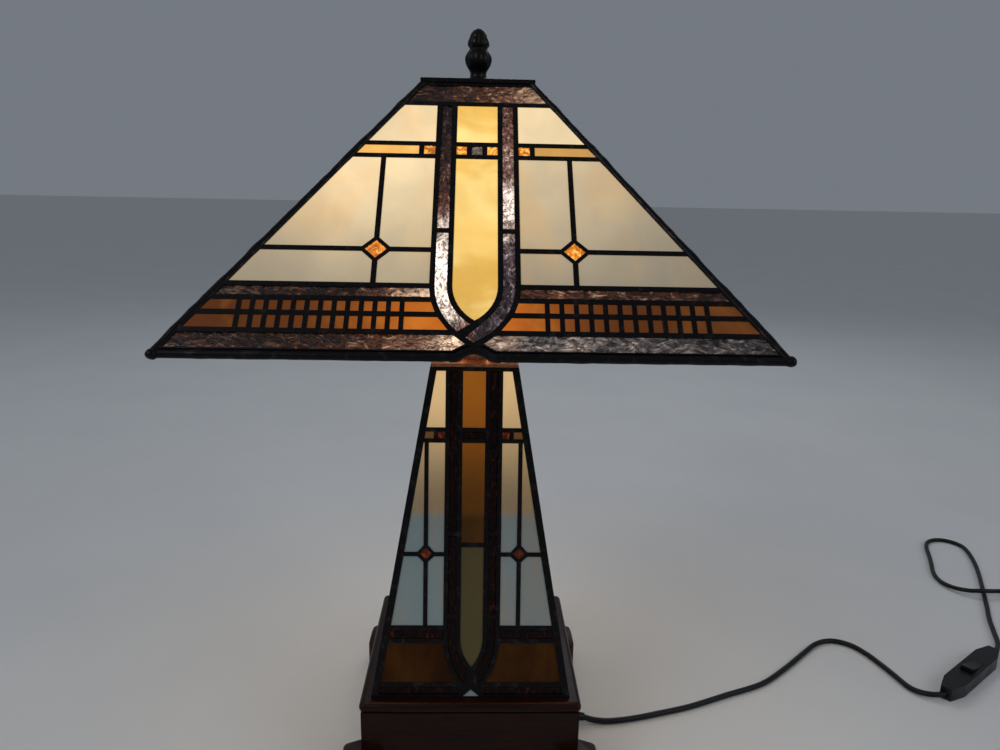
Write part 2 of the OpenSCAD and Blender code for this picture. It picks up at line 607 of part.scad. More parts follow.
module shade_leads(face) {
    color([0.06, 0.05, 0.05]) level(0, shade_z) on_shade([face]) leads(shade_outline, shade_panes);
}
module shade_leads_front() { shade_leads(0); }
module shade_leads_right() { shade_leads(1); }
module shade_leads_back() { shade_leads(2); }
module shade_leads_left() { shade_leads(3); }
module shade_hip_cames() {
    function edge(s) = shade_top_w / 2 + shade_run / shade_slant * s;
    strip = [[edge(-top_trim) - hip_w, top_trim], [edge(-top_trim), top_trim],
             [edge(came_s), -came_s], [edge(came_s) - hip_w, -came_s]];
    color([0.07, 0.06, 0.05]) for (k = [0 : 3]) rotate([0, 0, 90 * k]) level(0, shade_z) union() {
        mitred(-45) on_shade([0]) slab(strip, -panel_t, 0);
        mitred(135) on_shade([1]) slab(mirrored(strip), -panel_t, 0);
    }
}
module shade_rim_cames() {
    top = shade_w / 2 - rim_w * shade_run / shade_slant;
    low = shade_w / 2;
    corner = low - 1.6;
    color([0.07, 0.06, 0.05]) union() {
        on_shade() slab(concat([[-low, -shade_slant], [-10.5, -shade_slant], [-1.5, -213.3], [1.5, -213.3],
            [10.5, -shade_slant], [low, -shade_slant], [top, -came_s]], rim_v, [[-top, -came_s]]),
            -panel_t - rim_proud, rim_proud);
        for (x = [-corner, corner]) for (y = [-corner, corner]) translate([x, y, rim_z + 1.6]) sphere(r = 4.2);
    }
}
module shade_glass_cream() { color([0.95, 0.88, 0.7]) on_shade() glass(cream_panes); }
module shade_glass_amber() { color([0.93, 0.72, 0.35]) on_shade() glass(amber_panes); }
module shade_glass_honey() { color([0.85, 0.6, 0.3]) on_shade() glass(honey_panes); }
module shade_glass_bricks() { color([0.7, 0.42, 0.18]) on_shade() glass(brick_panes); }
module shade_glass_ripple() { color([0.35, 0.24, 0.22]) on_shade() glass(ripple_panes); }
module shade_glass_strips() { color([0.5, 0.42, 0.4]) on_shade() glass(strip_panes); }
module shade_glass_jewels() { color([0.85, 0.45, 0.08]) on_shade() glass(jewel_panes); }
module shade_glass_grey() { color([0.3, 0.3, 0.32]) on_shade() glass(grey_panes); }
module shade_cap() {
    side = shade_top_w + 1.2;
    color([0.1, 0.08, 0.07]) translate([0, 0, shade_z]) difference() {
        translate([-side / 2, -side / 2, 0]) cube([side, side, cap_t]);
        translate([0, 0, -1]) cylinder(r = stem_r + run_gap, h = cap_t + 2);
    }
}
module cap_boss() {
    color([0.1, 0.08, 0.07]) translate([0, 0, shade_z + cap_t]) difference() {
        translate([-boss_w / 2, -boss_w / 2, 0]) cube([boss_w, boss_w, boss_t]);
        translate([0, 0, -1]) cylinder(r = stem_r + run_gap, h = boss_t + 2);
    }
}
// Foot, neck, fluted bulb, waist, collar and cone, as [radius, height above the boss]
finial_profile = [[0, 0], [12, 0], [12, 0.8], [8.4, 1.7], [6.3, 3.4], [5.8, 5.4], [6, 7.4], [7.3, 9.6],
                  [8.9, 12.2], [9.6, 15], [9.4, 17.6], [8.4, 20], [7, 22], [6.4, 23.2], [6.9, 24.4],
                  [7.7, 26], [7.3, 28.4], [6.2, 30.8], [5.4, 33], [4, 35.4], [2.2, 37], [0, 37.5]];
module finial() {
    color([0.06, 0.05, 0.05]) translate([0, 0, cap_z + run_gap]) difference() {
        rotate_extrude() polygon(finial_profile);
        translate([0, 0, -1]) cylinder(r = stem_r + run_gap, h = stem_top - cap_z + 2);
    }
}

// ---- Cord, switch and plug ----

module cord_to_switch() { color([0.02, 0.02, 0.02]) tube(lead_route, cord_r); }
module cord_to_coil() { color([0.02, 0.02, 0.02]) tube(loop_route, cord_r); }
module cord_to_plug() { color([0.02, 0.02, 0.02]) tube(plug_route, cord_r); }
module cord_coil() {
    color([0.02, 0.02, 0.02]) translate([coil_at[0], coil_at[1], 0]) rotate_extrude()
        polygon([[coil_r - cord_d, 1], [coil_r - cord_d + 1, 0], [coil_r + cord_d - 1, 0],
                 [coil_r + cord_d, 1], [coil_r + cord_d, 2 * cord_d - 1], [coil_r + cord_d - 1, 2 * cord_d],
                 [coil_r - cord_d + 1, 2 * cord_d], [coil_r - cord_d, 2 * cord_d - 1]]);
}
module at_switch() { translate([switch_at[0], switch_at[1], 0]) rotate([0, 0, switch_turn]) children(); }
module switch_plan(inset = 0) {
    l = switch_l - 2 * inset;
    w = switch_w - 2 * inset;
    polygon([[-l / 2, -w / 4], [-l / 3, -w / 2], [l / 3, -w / 2], [l / 2, -w / 4],
             [l / 2, w / 4], [l / 3, w / 2], [-l / 3, w / 2], [-l / 2, w / 4]]);
}
rocker_l = 26;
rocker_w = 11;
rocker_gap = 0.4;
pin_r = 1;
pin_out = 2;
module cord_bores() {
    translate([-switch_l / 2 - 1, 0, enter]) rotate([0, 90, 0]) cylinder(r = cord_r, h = 15);
    translate([switch_l / 2 - 14, 0, enter]) rotate([0, 90, 0]) cylinder(r = cord_r, h = 15);
}
module switch_bottom() {
    color([0.03, 0.03, 0.03]) at_switch() difference() {
        linear_extrude(enter) switch_plan();
        translate([-switch_l / 3, -switch_w / 3, 2]) cube([2 * switch_l / 3, 2 * switch_w / 3, enter]);
        cord_bores();
    }
}
module switch_top() {
    color([0.03, 0.03, 0.03]) at_switch() difference() {
        translate([0, 0, enter]) linear_extrude(switch_h - enter) switch_plan();
        cord_bores();
        translate([-rocker_l / 2 - rocker_gap, -rocker_w / 2 - rocker_gap, 0])
            cube([rocker_l + 2 * rocker_gap, rocker_w + 2 * rocker_gap, switch_h + 1]);
        translate([0, rocker_w / 2 + pin_out + 0.5, pivot_z]) rotate([90, 0, 0])
            cylinder(r = pin_r + 0.05, h = rocker_w + 2 * pin_out + 1);
    }
}
rocker_tilt = 9;
module switch_rocker() {
    color([0.05, 0.05, 0.05]) at_switch() translate([0, 0, pivot_z]) rotate([0, rocker_tilt, 0]) {
        translate([0, rocker_w / 2, 0]) rotate([90, 0, 0]) linear_extrude(rocker_w)
            polygon([[-rocker_l / 2 + 1.6, -2], [rocker_l / 2 - 1.6, -2], [rocker_l / 2 - 0.6, 6],
                     [0, 4.6], [-rocker_l / 2 + 0.6, 6]]);
        translate([0, rocker_w / 2 + pin_out, 0]) rotate([90, 0, 0])
            cylinder(r = pin_r, h = rocker_w + 2 * pin_out);
    }
}
plug_w = 48;
plug_l = 50;
plug_h = 22;
module plug_body() {
    color([0.03, 0.03, 0.03]) translate([plug_at[0], plug_at[1], 0]) difference() {
        linear_extrude(plug_h) polygon([[-7, plug_l / 2 + 8], [-9, plug_l / 2], [-plug_w / 2 + 6, plug_l / 2],
            [-plug_w / 2, plug_l / 2 - 8], [-plug_w / 2, -plug_l / 2 + 8], [-plug_w / 2 + 8, -plug_l / 2],
            [plug_w / 2 - 8, -plug_l / 2], [plug_w / 2, -plug_l / 2 + 8], [plug_w / 2, plug_l / 2 - 8],
            [plug_w / 2 - 6, plug_l / 2], [9, plug_l / 2], [7, plug_l / 2 + 8]]);
        translate([0, plug_l / 2 + 9, 11]) rotate([90, 0, 0]) cylinder(r = cord_r, h = 10);
    }
}
module plug_pins() {
    color([0.8, 0.7, 0.4]) translate([plug_at[0], plug_at[1], plug_h]) {
        translate([-2, -20, 0]) cube([4, 8, 22.7]);
        for (x = [-14.2, 7.9]) translate([x, 2, 0]) cube([6.3, 4, 17.7]);
    }
}

// ---- Parts drawn ----

plinth_top();
plinth_body();
plinth_feet();
felt_pads();
bottom_cover();
bottom_screws();
stem_tube();
stem_nuts();
stem_washers();
cord_bushing();
tower_leads_front();
tower_leads_right();
tower_leads_back();
tower_leads_left();
tower_corner_cames();
tower_glass_cream();
tower_glass_amber();
tower_glass_olive();
tower_glass_strips();
tower_glass_ripple();
tower_glass_honey();
tower_glass_jewels();
tower_top_plate();
vase_cap();
tower_lamp_bracket();
tower_lamp_socket();
tower_bulb_cap();
tower_bulb_glass();
cluster_body();
cluster_sockets();
left_bulb_cap();
left_bulb_glass();
right_bulb_cap();
right_bulb_glass();
shade_leads_front();
shade_leads_right();
shade_leads_back();
shade_leads_left();
shade_hip_cames();
shade_rim_cames();
shade_glass_cream();
shade_glass_amber();
shade_glass_honey();
shade_glass_bricks();
shade_glass_ripple();
shade_glass_strips();
shade_glass_jewels();
shade_glass_grey();
shade_cap();
cap_boss();
finial();
cord_to_switch();
cord_to_coil();
cord_coil();
cord_to_plug();
switch_bottom();
switch_top();
switch_rocker();
plug_body();
plug_pins();
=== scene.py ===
"""Mission style table lamp in leaded glass: looks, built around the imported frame."""
import math

import bmesh
import bpy
from mathutils import Matrix, Vector, noise


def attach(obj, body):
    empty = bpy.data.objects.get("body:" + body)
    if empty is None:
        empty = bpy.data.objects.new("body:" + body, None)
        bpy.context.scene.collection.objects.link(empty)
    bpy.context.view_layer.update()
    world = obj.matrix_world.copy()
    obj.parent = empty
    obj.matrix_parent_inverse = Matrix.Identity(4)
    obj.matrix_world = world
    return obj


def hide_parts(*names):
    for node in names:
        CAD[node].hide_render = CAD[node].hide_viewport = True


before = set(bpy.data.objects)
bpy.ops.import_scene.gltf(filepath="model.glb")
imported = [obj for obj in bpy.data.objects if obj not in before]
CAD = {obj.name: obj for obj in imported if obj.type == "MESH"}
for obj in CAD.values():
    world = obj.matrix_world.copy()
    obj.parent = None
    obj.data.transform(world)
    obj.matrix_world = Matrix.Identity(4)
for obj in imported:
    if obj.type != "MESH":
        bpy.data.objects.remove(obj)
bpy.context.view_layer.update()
MM = 0.001


def mm(*values):
    """A vector in metres from millimetres."""
    return Vector([v * MM for v in values])


# ---- Camera ----

def make_camera():
    data = bpy.data.cameras.new("camera")
    data.sensor_width = 36
    data.lens = 28.29
    data.clip_start = 0.01
    cam = bpy.data.objects.new("camera", data)
    cam.location = mm(1.5, -610.8, 449.7)
    cam.rotation_euler = [math.radians(v) for v in (77.098, -1.075, -1.504)]
    bpy.context.scene.collection.objects.link(cam)
    bpy.context.scene.camera = cam


make_camera()

# ---- Material tools ----


def srgb(r, g, b):
    """A colour from its values on a screen, 0 to 255."""
    def linear(v):
        v /= 255
        return v / 12.92 if v <= 0.04045 else ((v + 0.055) / 1.055) ** 2.4
    return (linear(r), linear(g), linear(b), 1.0)


def toned(colour, k):
    """The colour, k times as bright."""
    return (colour[0] * k, colour[1] * k, colour[2] * k, 1.0)


class Paint:
    """A Principled material whose patterns are made with small helpers."""

    def __init__(self, name, rough=0.5, metal=0.0, coat=0.0, coat_rough=0.1, spec=0.5):
        self.mat = bpy.data.materials.new(name)
        self.mat.use_nodes = True
        self.tree = self.mat.node_tree
        self.bsdf = self.tree.nodes["Principled BSDF"]
        self.set("Roughness", rough)
        self.set("Metallic", metal)
        self.set("Coat Weight", coat)
        self.set("Coat Roughness", coat_rough)
        self.set("Specular IOR Level", spec)
        self.set("IOR", 1.5)
        self.place = self.tree.nodes.new("ShaderNodeTexCoord").outputs["Object"]

    def set(self, socket, value):
        """Gives an input of the Principled shader a value or a pattern."""
        self.feed(self.bsdf, socket, value)

    def feed(self, node, socket, value):
        if isinstance(value, bpy.types.NodeSocket):
            self.tree.links.new(value, node.inputs[socket])
        else:
            node.inputs[socket].default_value = value

    def math(self, op, a, b=0.0):
        node = self.tree.nodes.new("ShaderNodeMath")
        node.operation = op
        self.feed(node, 0, a)
        self.feed(node, 1, b)
        return node.outputs[0]

    def add(self, a, b):
        return self.math("ADD", a, b)

    def times(self, a, b):
        return self.math("MULTIPLY", a, b)

    def between(self, fac, a, b):
        """a where fac is 0, b where it is 1."""
        return self.add(self.times(a, self.math("SUBTRACT", 1.0, fac)), self.times(b, fac))

    def vec(self, op, a, b):
        node = self.tree.nodes.new("ShaderNodeVectorMath")
        node.operation = op
        self.feed(node, 0, a)
        self.feed(node, 1, b)
        return node.outputs["Value" if op == "DISTANCE" else "Vector"]

    def axis(self, name):
        """Where a point of the surface is along x, y or z, in metres."""
        node = self.tree.nodes.new("ShaderNodeSeparateXYZ")
        self.tree.links.new(self.place, node.inputs[0])
        return node.outputs["xyz".index(name)]

    def noise(self, scale, stretch=(1, 1, 1), detail=3.0, rough=0.5, distort=0.0, offset=0.0):
        """A cloudy pattern about 0.5, in another place for each offset."""
        node = self.tree.nodes.new("ShaderNodeTexNoise")
        node.inputs["Scale"].default_value = scale
        node.inputs["Detail"].default_value = detail
        node.inputs["Roughness"].default_value = rough
        node.inputs["Distortion"].default_value = distort
        place = self.vec("MULTIPLY", self.place, stretch)
        if offset:
            place = self.vec("ADD", place, (offset, offset, offset))
        self.tree.links.new(place, node.inputs["Vector"])
        return node.outputs[0]

    def ramp(self, fac, *stops):
        """Colours along fac, each stop a place and a colour."""
        node = self.tree.nodes.new("ShaderNodeValToRGB")
        while len(node.color_ramp.elements) < len(stops):
            node.color_ramp.elements.new(0.5)
        for element, (at, colour) in zip(node.color_ramp.elements, stops):
            element.position = at
            element.color = colour
        self.tree.links.new(fac, node.inputs[0])
        return node.outputs["Color"]

    def band(self, value, low, high, to_low=0.0, to_high=1.0, smooth=True):
        """to_low where value is under low, to_high where it is over high."""
        node = self.tree.nodes.new("ShaderNodeMapRange")
        node.interpolation_type = "SMOOTHSTEP" if smooth else "LINEAR"
        for index, v in enumerate((value, low, high, to_low, to_high)):
            self.feed(node, index, v)
        return node.outputs[0]

    def mix(self, fac, a, b):
        """The same as between, for colours."""
        node = self.tree.nodes.new("ShaderNodeMix")
        node.data_type = "RGBA"
        self.feed(node, 0, fac)
        self.feed(node, 6, a)
        self.feed(node, 7, b)
        return node.outputs[2]

    def scale(self, colour, amount):
        """colour times a number that varies over the surface."""
        node = self.tree.nodes.new("ShaderNodeVectorMath")
        node.operation = "SCALE"
        self.feed(node, 0, colour if isinstance(colour, bpy.types.NodeSocket) else colour[:3])
        self.feed(node, 3, amount)
        return node.outputs["Vector"]

    def bump(self, height, strength, distance=0.0005):
        node = self.tree.nodes.new("ShaderNodeBump")
        node.inputs["Strength"].default_value = strength
        node.inputs["Distance"].default_value = distance
        self.tree.links.new(height, node.inputs["Height"])
        self.tree.links.new(node.outputs[0], self.bsdf.inputs["Normal"])


# ---- Light from the bulbs, as it shows on the glass ----

BULB_LEFT = mm(-80, 0, 407)
BULB_RIGHT = mm(80, 0, 407)
# What the two bulbs give, the sum that counts as fully lit glass, and the most that a pane may glow
LEFT_POWER, RIGHT_POWER, FULL_LIGHT, MOST_GLOW = 1.25, 0.67, 115, 1.5
# Heights, in metres, that the glass patterns change at: each pair is where a change starts and ends
UNDER_CAP = (0.49, 0.5)
TOP_ROW = (0.474, 0.481)
STRIP_JOINT = (0.424, 0.428)
BETWEEN_BANDS = (0.378, 0.384)
TOWER_SHADOW = (0.207, 0.217)
FOOT_PANES = (0.145, 0.155)


def from_bulb(p, bulb, power):
    return p.math("DIVIDE", power, p.math("POWER", p.vec("DISTANCE", p.place, bulb), 2))


def glow(p):
    """How strongly the two bulbs light a point of the shade, near 1 by the middle of a face."""
    both = p.add(from_bulb(p, BULB_LEFT, LEFT_POWER), from_bulb(p, BULB_RIGHT, RIGHT_POWER))
    return p.math("MINIMUM", p.math("POWER", p.math("DIVIDE", both, FULL_LIGHT), 1.9), MOST_GLOW)


def off_centre(p):
    """Distance across a face from its middle line."""
    return p.math("MINIMUM", p.math("ABSOLUTE", p.axis("x")), p.math("ABSOLUTE", p.axis("y")))


def on_right(p, blend=0.002):
    """0 on the lamp's left, 1 on its right, changing over twice blend in metres."""
    return p.band(p.axis("x"), -blend, blend)


def over(p, height):
    """0 under a pair of heights and 1 over it."""
    return p.band(p.axis("z"), *height)


def under(p, height):
    """1 under a pair of heights and 0 over it."""
    return p.band(p.axis("z"), *height, 1.0, 0.0)


def bell(p, value, middle, width):
    """1 at middle, falling away smoothly on both sides."""
    off = p.math("DIVIDE", p.math("SUBTRACT", value, middle), width)
    return p.math("POWER", math.e, p.times(p.times(off, off), -1.0))


def cream_level(p):
    """Lit by the bulbs, but the row of panes by the top is even."""
    return p.between(over(p, TOP_ROW), glow(p), 1.08)


def amber_level(p):
    """Pale glass over the middle evens the bulbs' light out."""
    return p.add(0.74, p.times(glow(p), 0.27))


def brick_level(p):
    """Bright by the pointed pane, fading sooner on the right."""
    width = p.band(p.axis("x"), -0.01, 0.01, 0.06, 0.044)
    return p.add(0.1, p.times(bell(p, off_centre(p), 0.0, width), 0.8))


def strip_level(p):
    """The strips catch the bulbs at the bulbs' height, a little higher on the right."""
    z = p.axis("z")
    left = p.add(p.times(bell(p, z, 0.406, 0.024), 2.9), p.times(p.band(z, 0.5, 0.43), 0.42))
    right = p.add(p.times(bell(p, z, 0.442, 0.021), 1.7), p.band(z, 0.40, 0.47, 0.34, 0.62))
    return p.between(on_right(p), left, right)


def band_level(p):
    """Bands by the rim are brightest by the middle, and the one under the cap on its right."""
    side = off_centre(p)
    left = p.add(0.09, p.times(bell(p, side, 0.0, 0.045), 2.0))
    right = p.times(p.band(side, 0.0, 0.19, 1.05, 0.2), p.band(p.axis("z"), *BETWEEN_BANDS, 1.0, 0.55))
    top = p.band(p.axis("x"), -0.035, 0.045, 0.1, 0.9)
    return p.between(over(p, UNDER_CAP), p.between(on_right(p), left, right), top)


def tower_level(p):
    """The shade's bulbs shine a little way down inside the tower, to a clear edge."""
    return p.times(p.band(p.axis("z"), 0.215, 0.325, 0.14, 1.0), over(p, TOWER_SHADOW))


def even(value):
    """A level that is the same everywhere."""
    return lambda p: p.add(0.0, value)


def painted_shade_under(height, cool_shade, warm_light):
    """Painted light and shade in the tower glass's colour: warm painted light over the pair of heights, where
    the bulbs' light comes down inside, and a cool painted shade under it.
    """
    return lambda p: p.mix(over(p, height), cool_shade, warm_light)


# Places on the lamp's right, away from the brighter bulb, where the ripple glass's middle colour is painted
# as cool shade.
def low_right(p):
    return p.times(on_right(p), under(p, STRIP_JOINT))


def rim_right(p):
    return p.times(on_right(p, 0.03), under(p, BETWEEN_BANDS))


# ---- Materials, by kind ----

def opal(name, body, light, wisp, level, wisp_amount, gain=1.0, coat=0.5):
    """Opalescent glass: cloudy body, soft streaks down the slope, lit from behind."""
    p = Paint(name, rough=0.18, coat=coat, coat_rough=0.07, spec=coat)
    cloud = p.noise(16, (1, 1, 0.22), detail=4, rough=0.6, distort=0.8)
    wisps = p.band(cloud, 0.46, 0.72, 0.0, wisp_amount)
    uneven = p.band(p.noise(34, (1, 1, 0.35), detail=3, offset=7.7), 0.3, 0.7, 0.88, 1.06)
    strength = p.times(p.times(level(p), uneven), gain)
    p.set("Base Color", p.mix(wisps, body(p) if callable(body) else body, wisp))
    p.set("Emission Color", p.scale(p.mix(wisps, light, wisp), strength))
    p.set("Emission Strength", 1.0)
    fine = p.noise(90, (1, 1, 0.4), detail=2, offset=3.1)
    p.bump(p.mix(0.25, p.noise(28, detail=1, offset=1.3), fine), 0.12, 0.001)
    return p.mat


def flecked(name, body, mid, glint_colour, level, stretch=(1, 1, 0.36), cool_shade=None, where=None, coat=0.3):
    """Dark rippled glass: brown where little light comes through, glaring white by the bulbs.

    The middle colour is painted cooler, as shade, at the place that where gives: on the lamp's right, where
    the weaker bulb lights the glass less.
    """
    p = Paint(name, rough=0.16, coat=coat, coat_rough=0.08, spec=coat)
    flow = p.noise(230, stretch, detail=4, rough=0.62, distort=1.6)
    lines = p.noise(184, stretch, detail=3, rough=0.6, distort=1.2, offset=5.0)
    crease = p.band(p.math("ABSOLUTE", p.math("SUBTRACT", lines, 0.5)), 0.0, 0.075, 1.0, 0.0)
    patch = p.noise(46, stretch, detail=2, offset=9.0)
    if cool_shade:
        mid = p.mix(where(p), mid, cool_shade)
    lit = p.times(level(p), p.band(patch, 0.3, 0.66, 0.6, 1.15))
    glare = p.band(lit, 0.5, 1.5)
    # Painted glints: bright flecks where the ripples let light through, and painted glare by the bulbs.
    glints = p.math("MAXIMUM", p.band(flow, 0.55, 0.7), glare)
    through = p.math("MAXIMUM", p.band(flow, 0.36, 0.66, 0.12, 1.0, smooth=False), p.times(glare, 0.5))
    cut = p.math("SUBTRACT", 1.0, p.times(crease, 0.82))
    p.set("Base Color", p.mix(p.band(flow, 0.45, 0.75, 0.0, 0.5), body, mid))
    p.set("Emission Color", p.scale(p.mix(glints, mid, glint_colour), p.times(p.times(lit, through), cut)))
    p.set("Emission Strength", 1.0)
    p.bump(p.mix(0.4, flow, crease), 0.6, 0.0008)
    return p.mat


def jewel(name, deep, facet_glint, strength, coat=0.8):
    """Small chunky glass, its ripples as deep facets of its own colour and bright ones that are painted
    glints of the light through it.
    """
    p = Paint(name, rough=0.1, coat=coat, coat_rough=0.04, spec=coat)
    facets = p.noise(210, (1, 1, 0.7), detail=2, rough=0.5, distort=1.4)
    tint = p.ramp(facets, (0.38, toned(deep, 0.5)), (0.5, deep), (0.62, facet_glint), (0.74, deep))
    p.set("Base Color", tint)
    p.set("Emission Color", p.scale(tint, strength))
    p.set("Emission Strength", 1.0)
    p.bump(facets, 0.5, 0.0006)
    return p.mat


def patina(name, base=(0.006, 0.005, 0.006, 1), worn=(0.03, 0.026, 0.025, 1), rough=0.36):
    """Blackened solder: dark, uneven, faintly worn on its high spots."""
    p = Paint(name, metal=0.6, spec=0.3)
    lumps = p.noise(150, detail=3, rough=0.6)
    fine = p.noise(900, detail=2, offset=2.0)
    p.set("Base Color", p.mix(p.band(lumps, 0.52, 0.75), base, worn))
    p.set("Roughness", p.band(lumps, 0.3, 0.7, rough + 0.14, rough - 0.08))
    p.bump(p.mix(0.3, lumps, fine), 0.35, 0.0006)
    return p.mat


def wood(name, dark, light, along, rough=0.3):
    """Polished dark timber, grain stretched along one axis."""
    stretch = [9.0, 9.0, 9.0]
    stretch["xyz".index(along)] = 0.7
    p = Paint(name, coat=0.07, coat_rough=0.12, spec=0.12)
    grain = p.noise(26, stretch, detail=6, rough=0.62, distort=0.9)
    pore = p.noise(70, [v * 1.6 for v in stretch], detail=3, rough=0.7, offset=4.0)
    p.set("Base Color", p.mix(p.band(pore, 0.55, 0.75, 0.0, 0.7),
                              p.ramp(grain, (0.3, dark), (0.72, light)), toned(dark, 0.4)))
    p.set("Roughness", p.band(grain, 0.3, 0.7, rough, rough + 0.14))
    p.bump(p.mix(0.5, grain, pore), 0.14, 0.0006)
    return p.mat


def metal(name, colour, dark, rough):
    """Brushed or cast metal, darker in random patches."""
    p = Paint(name, metal=1.0)
    wear = p.noise(120, detail=4, rough=0.65)
    p.set("Base Color", p.ramp(wear, (0.32, dark), (0.62, colour)))
    p.set("Roughness", p.band(wear, 0.3, 0.7, rough + 0.2, rough))
    p.bump(p.noise(600, detail=2, offset=1.0), 0.12, 0.0004)
    return p.mat


def moulded(name, colour, rough, grain=1400, strength=0.12):
    """Plastic, rubber or felt with a fine grain."""
    p = Paint(name, spec=0.28)
    tone = p.noise(60, detail=2)
    p.set("Base Color", p.mix(p.band(tone, 0.3, 0.7, 0.0, 0.5), colour, toned(colour, 1.6)))
    p.set("Roughness", p.band(tone, 0.3, 0.7, rough - 0.05, rough + 0.08))
    p.bump(p.noise(grain, detail=2), strength, 0.0003)
    return p.mat


def bulb_paint(name, strength):
    """Frosted bulb, its own light a little uneven."""
    p = Paint(name, rough=0.45, coat=0.5)
    p.set("Base Color", (0.9, 0.87, 0.78, 1))
    tint = p.ramp(p.noise(20, detail=1), (0.3, (1.0, 0.74, 0.42, 1)), (0.7, (1.0, 0.8, 0.5, 1)))
    p.set("Emission Color", tint)
    p.set("Emission Strength", strength)
    return p.mat


# ---- Mesh tools ----

# Corners of a bead's round section
BEAD_SIDES = 12


def new_object(name, bm, material, smooth_angle=40):
    mesh = bpy.data.meshes.new(name)
    bm.to_mesh(mesh)
    bm.free()
    mesh.polygons.foreach_set("use_smooth", [True] * len(mesh.polygons))
    mesh.set_sharp_from_angle(angle=math.radians(smooth_angle))
    ob = bpy.data.objects.new(name, mesh)
    ob.data.materials.append(material)
    bpy.context.scene.collection.objects.link(ob)
    return ob


def put(ob, body, slot, *nodes):
    """Says which body a piece rides on and hides the CAD nodes it stands for; slot is not used."""
    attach(ob, body)
    if nodes:
        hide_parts(*nodes)
    return ob


def cad_mesh(node):
    """A clean copy of a CAD node's mesh: points welded, flat faces joined up."""
    bm = bmesh.new()
    bm.from_mesh(CAD[node].data)
    bmesh.ops.remove_doubles(bm, verts=bm.verts, dist=2e-6)
    bmesh.ops.dissolve_limit(bm, angle_limit=math.radians(0.4), verts=bm.verts, edges=bm.edges)
    bmesh.ops.recalc_face_normals(bm, faces=bm.faces)
    return bm


def soften(bm, width, segments, angle):
    """Rounds every edge sharper than angle."""
    limit = math.radians(angle)
    sharp = [e for e in bm.edges if len(e.link_faces) == 2 and e.calc_face_angle(0) > limit]
    bmesh.ops.bevel(bm, geom=sharp, offset=width, offset_type="OFFSET", segments=segments,
                    profile=0.5, affect="EDGES", clamp_overlap=True)


def remake(node, body, slot, material, width=0.0, segments=2, angle=35, smooth_angle=40):
    """The node's own shape with its edges rounded by width, in millimetres."""
    bm = cad_mesh(node)
    if width:
        soften(bm, width * MM, segments, angle)
    ob = new_object(node + "_skin", bm, material, smooth_angle)
    if width:
        mod = ob.modifiers.new("normals", "WEIGHTED_NORMAL")
        mod.keep_sharp = True
    return put(ob, body, slot, node)


def wobble(v, size, seed):
    """A smooth random value between about -1 and 1 at a point."""
    return noise.noise(v * size + Vector((seed, seed * 1.7, seed * 0.6)))


def ring_walls(bm, rings):
    """Faces between each ring of points and the next."""
    for a, b in zip(rings, rings[1:]):
        for k in range(len(a)):
            after = (k + 1) % len(a)
            bm.faces.new((a[k], a[after], b[after], b[k]))


def bead(bm, points, radius, lumps, lump, ripple, seed):
    """A run of solder along points, swollen near the places in lumps."""
    rings = []
    for i, c in enumerate(points):
        along = (points[min(i + 1, len(points) - 1)] - points[max(i - 1, 0)]).normalized()
        level = along.cross(Vector((0, 0, 1))).normalized()
        steep = level.cross(along)
        r = radius + sum(lump * math.exp(-((c - q).length / (2.2 * radius)) ** 2) for q in lumps)
        r += ripple * wobble(c, 160, seed)
        turn = [2 * math.pi * k / BEAD_SIDES for k in range(BEAD_SIDES)]
        rings.append([bm.verts.new(c + (level * math.cos(a) + steep * math.sin(a)) * r) for a in turn])
    ring_walls(bm, rings)
    bm.faces.new(list(reversed(rings[0])))
    bm.faces.new(rings[-1])


def path(points, step):
    """Points step apart along straight runs."""
    out = []
    for a, b in zip(points, points[1:]):
        n = max(2, int((b - a).length / step))
        out += [a.lerp(b, i / n) for i in range(n)]
    return out + [points[-1]]


def smooth_route(points, per):
    """Catmull-Rom curve through points."""
    q = [points[0] * 2 - points[1], *points, points[-1] * 2 - points[-2]]
    out = []
    for i in range(1, len(q) - 2):
        a, b, c, d = q[i - 1:i + 3]
        for j in range(per):
            t = j / per
            out.append(0.5 * (2 * b + (c - a) * t + (2 * a - 5 * b + 4 * c - d) * t * t
                              + (3 * b - a - 3 * c + d) * t ** 3))
    return out + [points[-1]]


# ---- Cord ----

# Heights of the cord's middle line: on the table, into the switch, over another strand
LIE, ENTER, OVER = 2.5, 5.5, 8
# In millimetres, but the length in metres
CORD_D = 5
CORD_EXIT = (98, -10, 6.2)
